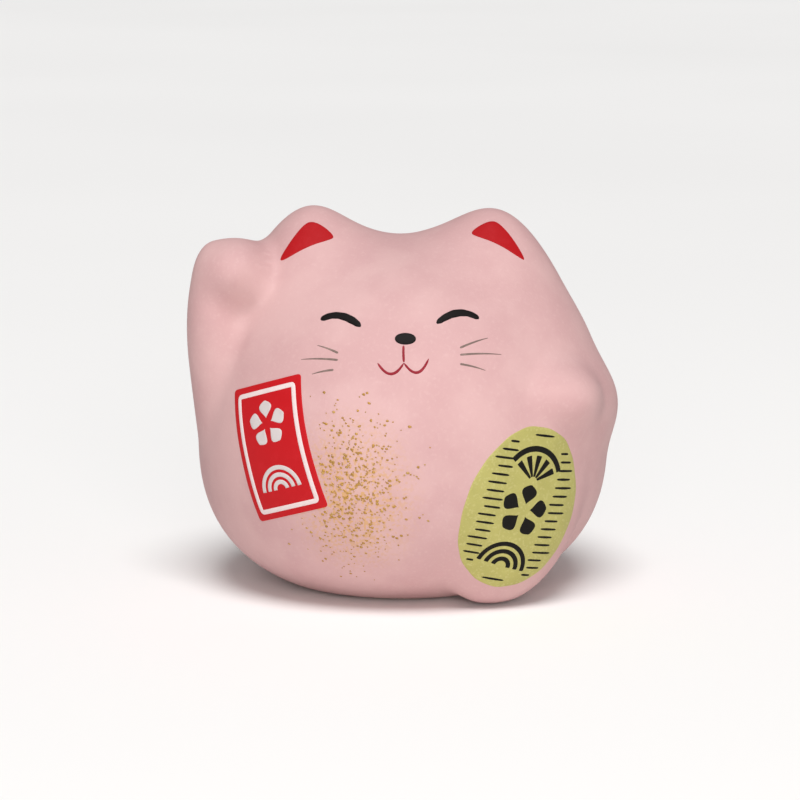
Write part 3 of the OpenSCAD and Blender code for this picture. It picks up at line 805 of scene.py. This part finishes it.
def fan(ribs=5):
    """Ribs from one pivot and the curved edge of the paper."""
    pivot = np.array([0, -0.75])
    t, half = np.linspace(0.2, 1.15, 12)[:, None], np.linspace(0.05, 0.15, 12)
    folds = [(pivot + t * ray(35 + 110 * k / (ribs - 1)), half) for k in range(ribs)]
    return folds + [(arc(pivot, 1.42, 28, 152), np.full(30, 0.13))]


def waves(count=3):
    """Half circles one inside the other, at even radii."""
    half = np.full(30, 0.3 / count)
    return [(arc([0, -0.5], k / count, 0, 180), half) for k in range(1, count + 1)]


def motif(seen, strokes, at, angle, size, lift):
    """Strokes of a motif set down in a view with a place, a turn and a size."""
    at = spin(at, angle)
    return [stroke(seen, at + spin(path * size, angle), half * size, columns=7, top=0.04, lift=lift)
            for path, half in strokes]


print("strokes in a blossom, a fan and waves:", len(blossom()), len(fan()), len(waves()))

# %% [markdown]
# ## The label on the cat's right side
# A red slip with a white line just inside its edge. It wraps the round flank, so its edges curve
# although it was cut straight.

# %% Lay the label
LABEL_W, LABEL_H, LABEL_TILT, CORNER = 11.8, 18.2, 17, 0.5
LABEL_INSET, LINE_HALF, LABEL_FILM = 1.15, 0.32, 0.06


def label_ground():
    """The red slip: straight sides and small round corners, r - sqrt(r^2 - (r - d)^2) off each side
    at d from an end."""
    t = -np.cos(np.linspace(0, np.pi, 70))
    y = t * LABEL_H / 2
    d = np.clip(LABEL_H / 2 - np.abs(y), 0, CORNER)
    half = LABEL_W / 2 - CORNER + np.sqrt(CORNER**2 - (CORNER - d) ** 2)
    path = spin(np.stack([np.zeros_like(y), y], 1), LABEL_TILT)
    side = spin([1, 0], LABEL_TILT) * half[:, None]
    return film(LABEL, path - side, path + side, columns=31, top=LABEL_FILM, edge=40)


def label_line():
    """The white line: a loop along a rectangle whose corners are rounded by a high power."""
    a = np.linspace(0, 2 * np.pi, 480, endpoint=False)
    round_corner = (np.abs(np.cos(a)) ** 40 + np.abs(np.sin(a)) ** 40) ** (-1 / 40)
    x = (LABEL_W / 2 - LABEL_INSET) * np.cos(a) * round_corner
    y = (LABEL_H / 2 - LABEL_INSET) * np.sin(a) * round_corner
    path = spin(np.stack([x, y], 1), LABEL_TILT)
    return stroke(LABEL, path, LINE_HALF, columns=5, top=0.03, lift=LABEL_FILM, edge=6, loop=True)


film_piece("fortune_label_slip", [label_ground()], red_print, "fortune_label")
film_piece("label_border_line", [label_line()], white_print, "label_border")
label_blossom = motif(LABEL, blossom(), [0, 3.6], LABEL_TILT, 3.1, LABEL_FILM)
label_waves = motif(LABEL, waves(), [0, -3.9], LABEL_TILT, 3.0, LABEL_FILM)
film_piece("label_blossom_print", label_blossom, grey_print, "label_blossom")
film_piece("label_waves_print", label_waves, grey_print, "label_waves")

# %% [markdown]
# ## The gold coin at the cat's left
# The boss is cast with the body and only its face is gilded, up to a line about a millimetre from
# its rim. Short ruled dashes stand for hammer marks, and a column of motifs runs down the middle.

# %% Gild the coin
COIN_W, COIN_H, COIN_LEAN = 17.5, 22.9, -19


def coin_oval():
    """Outline of the gilding: a leaning ellipse that two small sines make waver, as a brush does."""
    a = np.linspace(0, 2 * np.pi, 120, endpoint=False)
    waver = 1 + 0.004 * np.sin(7 * a) + 0.003 * np.sin(17 * a + 1)
    return spin(np.stack([COIN_W / 2 * np.cos(a) * waver, COIN_H / 2 * np.sin(a) * waver], 1), COIN_LEAN)


coin_points, coin_faces = patch(COIN, coin_oval(), rings=29, hidden_step=3)
mesh_piece("gilded_coin_face", coin_points, coin_faces, coin_lacquer, "coin_plate")

# %% [markdown]
# ## What is printed on the coin
# The dashes run level round the curve of the boss in even rows. Each row reaches from the column
# of motifs almost to the rim, and chance makes every dash a little longer or shorter.

# %% Print the coin
RULE_SLOPE, RULE_PITCH, COLUMN_HALF, END_ROW = -11.5, 1.15, 3.9, 9
COIN_FILM = 0.085


def in_coin(p, edge):
    """Whether a place is inside the oval by an edge in mm: (x / a)^2 + (y / b)^2 is below 1."""
    x, y = spin(p, -COIN_LEAN)
    return (x / (COIN_W / 2 - edge)) ** 2 + (y / (COIN_H / 2 - edge)) ** 2 < 1


def chance(i):
    """A repeatable number from 0 to 1 for each index: the fraction of a large sine."""
    s = np.sin(np.radians(np.asarray(i) * 77.17)) * 4375.85
    return s - np.floor(s)


def dash_point(k, x):
    """Place on the coin at x along row k."""
    return spin([0, k * RULE_PITCH], COIN_LEAN) + spin([x, 0], RULE_SLOPE)


def spans(k):
    """Start and end of the dashes in row k: one across the top and the bottom, else one on each side."""
    if abs(k) == END_ROW:
        return [(-1.6, 1.6)]
    found = []
    for side in (-1, 1):
        start = end = COLUMN_HALF - 0.4 * float(chance(k + 40 * side))
        while in_coin(dash_point(k, side * (end + 0.2)), 0.5) and end < start + 2.2 + chance(k + 90 * side):
            end += 0.2
        if end - start > 0.8:
            found.append((side * start, side * end))
    return found


def dashes():
    """Every dash as a short stroke of a fine brush."""
    rows = range(-END_ROW, END_ROW + 1)
    ends = [(k, dash_point(k, x0), dash_point(k, x1)) for k in rows for x0, x1 in spans(k)]
    return [stroke(COIN, bow(a, (a + b) / 2, b, 12), brushed(0.17, 12, seed=k),
                   columns=5, top=0.03, lift=COIN_FILM) for k, a, b in ends]


film_piece("coin_dashes", dashes(), coin_ink, "coin_rules")
coin_fan = motif(COIN, fan(), [0, 6.4], COIN_LEAN, 3.1, COIN_FILM)
coin_blossom = motif(COIN, blossom(), [0, 0], COIN_LEAN, 3.6, COIN_FILM)
coin_waves = motif(COIN, waves(), [0, -6.6], COIN_LEAN, 3.3, COIN_FILM)
film_piece("coin_fan_print", coin_fan, coin_ink, "coin_fan")
film_piece("coin_blossom_print", coin_blossom, coin_ink, "coin_blossom")
film_piece("coin_waves_print", coin_waves, coin_ink, "coin_waves")

# %% [markdown]
# ## Gold spatter
# A stiff brush loaded with bronze paint is flicked at the belly. The drops fall thickest where it
# is aimed and thin out round it, so their distances follow a bell curve, and a golden-angle spiral
# keeps them from lining up. Each drop is a little irregular pebble.

# %% Flick on the flecks
FLECKS, SIDES = 620, 7
GOLDEN_ANGLE = 137.508
SPATTER_AT, SPATTER_WIDE, SPATTER_TALL = np.array([-6.8, 0]), 3.6, 5.4


def fleck_places():
    """Places of the drops in the front view, those on the label or beyond the belly left out.

    The drop at share s of them all is sqrt(-2 log(1 - s)) spreads from the middle.
    """
    i = np.arange(FLECKS)
    r = np.sqrt(-2 * np.log(1 - (i + 0.5) / (FLECKS + 4)))
    a = np.radians(i * GOLDEN_ANGLE + 50 * chance(i))
    p = SPATTER_AT + np.stack([SPATTER_WIDE * r * np.cos(a), SPATTER_TALL * r * np.sin(a)], 1)
    p = p[(p[:, 0] < 6) & (np.abs(p[:, 1]) < 14)]
    away = touch(FRONT, p) - LABEL[0]
    q = np.abs(spin(np.stack([away @ LABEL[1], away @ LABEL[2]], 1), -LABEL_TILT))
    return p[(q[:, 0] > LABEL_W / 2 + 0.5) | (q[:, 1] > LABEL_H / 2 + 0.5)]


def build_flecks():
    """Every drop as a low seven-sided dome: a top point, a shoulder ring, a foot ring, a point below."""
    middle = touch(FRONT, fleck_places())
    n = outward(middle)
    count = len(middle)
    i = np.arange(count)
    side = unit(np.cross(n, [0.3, 0.2, 1.0]))  # any arrow that the belly never faces along
    other = np.cross(n, side)
    size = 0.1 + 0.17 * chance(i + 500) ** 1.5
    a = 2 * np.pi * np.arange(SIDES) / SIDES + 6.28 * chance(i + 900)[:, None]
    wide = size[:, None] * (0.75 + 0.5 * chance(i[:, None] * SIDES + np.arange(SIDES)))
    flat = (wide * np.cos(a))[..., None] * side[:, None]
    flat += (wide * np.sin(a) * 0.8)[..., None] * other[:, None]
    shoulder = middle[:, None] + 0.7 * flat + 0.045 * n[:, None]
    foot = middle[:, None] + flat - 0.02 * n[:, None]
    points = np.concatenate([(middle + 0.06 * n)[:, None], shoulder, foot, (middle - 0.04 * n)[:, None]], 1)
    each = 2 + 2 * SIDES
    faces = [[v + k * each for v in face] for k in range(count) for face in skin_faces(2, SIDES)]
    mesh_piece("gold_spatter", points.reshape(-1, 3), faces, fleck_lacquer, "gold_flecks")


build_flecks()

# %% [markdown]
# ## The table, the light and the camera
# A pale sweep, a broad high window and a softbox low in front, as for a catalogue. The window lights
# the forehead and the raised paw most, and the softbox keeps the face from falling into shade. The
# camera is a long lens a little above the cat, which keeps its proportions true.

# %% Set the stage
FLOOR_HALF = 8.0


def sweep():
    """A wide floor of matt paper at the foot of the figure: even white that shows no shine."""
    finish, tree, surface, place = new_finish("matt_white_paper_sweep", **{"Roughness": 0.9})
    colour = spotted(tree, place, linear("#f7f6f5"), linear("#f4f3f2"), 400, (0.3, 0.7))
    tree.links.new(colour, surface.inputs["Base Color"])
    mesh = bpy.data.meshes.new("paper_sweep")
    corners = [(x * FLOOR_HALF, y * FLOOR_HALF, 0) for x, y in ((-1, -1), (1, -1), (1, 1), (-1, 1))]
    mesh.from_pydata(corners, [], [(0, 1, 2, 3)])
    mesh.materials.append(finish)
    floor = bpy.data.objects.new("paper_sweep", mesh)
    bpy.context.scene.collection.objects.link(floor)


def aimed(place_mm, aim_mm):
    """Turn that points a lamp or camera, which looks along its own -Z, from a place to an aim."""
    return (Vector(aim_mm) - Vector(place_mm)).to_track_quat("-Z", "Y").to_euler()


def set_down(name, data, place_mm, aim_mm):
    """A lamp or camera set down at a place and aimed."""
    made = bpy.data.objects.new(name, data)
    made.location = [c * MM for c in place_mm]
    made.rotation_euler = aimed(place_mm, aim_mm)
    bpy.context.scene.collection.objects.link(made)
    return made


sweep()
softbox = bpy.data.lights.new("front_softbox", "AREA")
softbox.energy, softbox.size, softbox.color = 1.7, 300 * MM, linear("#fffaf6")[:3]
set_down("front_softbox", softbox, (40, -600, 150), (0, 0, 25))
window = bpy.data.lights.new("high_window", "SUN")
window.energy, window.angle, window.color = 2.4, math.radians(30), linear("#ffffff")[:3]
set_down("high_window", window, (20, -400, 915), (0, 0, 0))

world = bpy.data.worlds.new("white_studio")
bpy.context.scene.world = world
world.use_nodes = True
backdrop = world.node_tree.nodes["Background"]
backdrop.inputs["Color"].default_value = linear("#fbfbfb")
backdrop.inputs["Strength"].default_value = 0.27

# %% [markdown]
# ## The camera
# It stands 450 mm away and 10 degrees up, and looks at the middle of the cat. The Standard view
# keeps the pink and the red as strong as the paints are, where a filmic one would grey them.

# %% Place the camera
bpy.context.scene.view_settings.view_transform = "Standard"

LIFT, REACH, RAISE = math.radians(10), 450, 0.56
AIM = np.array([-0.42, 0, 25.1]) + RAISE * np.array([0, math.sin(LIFT), math.cos(LIFT)])
STAND = AIM + REACH * np.array([0, -math.cos(LIFT), math.sin(LIFT)])
camera = bpy.data.cameras.new("catalogue_camera")
camera.lens, camera.sensor_width = 143.8, 36
camera.clip_start, camera.clip_end = 0.01, 30
bpy.context.scene.camera = set_down("catalogue_camera", camera, STAND.tolist(), AIM.tolist())
print("camera at", STAND.round(1).tolist(), "mm, aimed at", AIM.round(1).tolist())
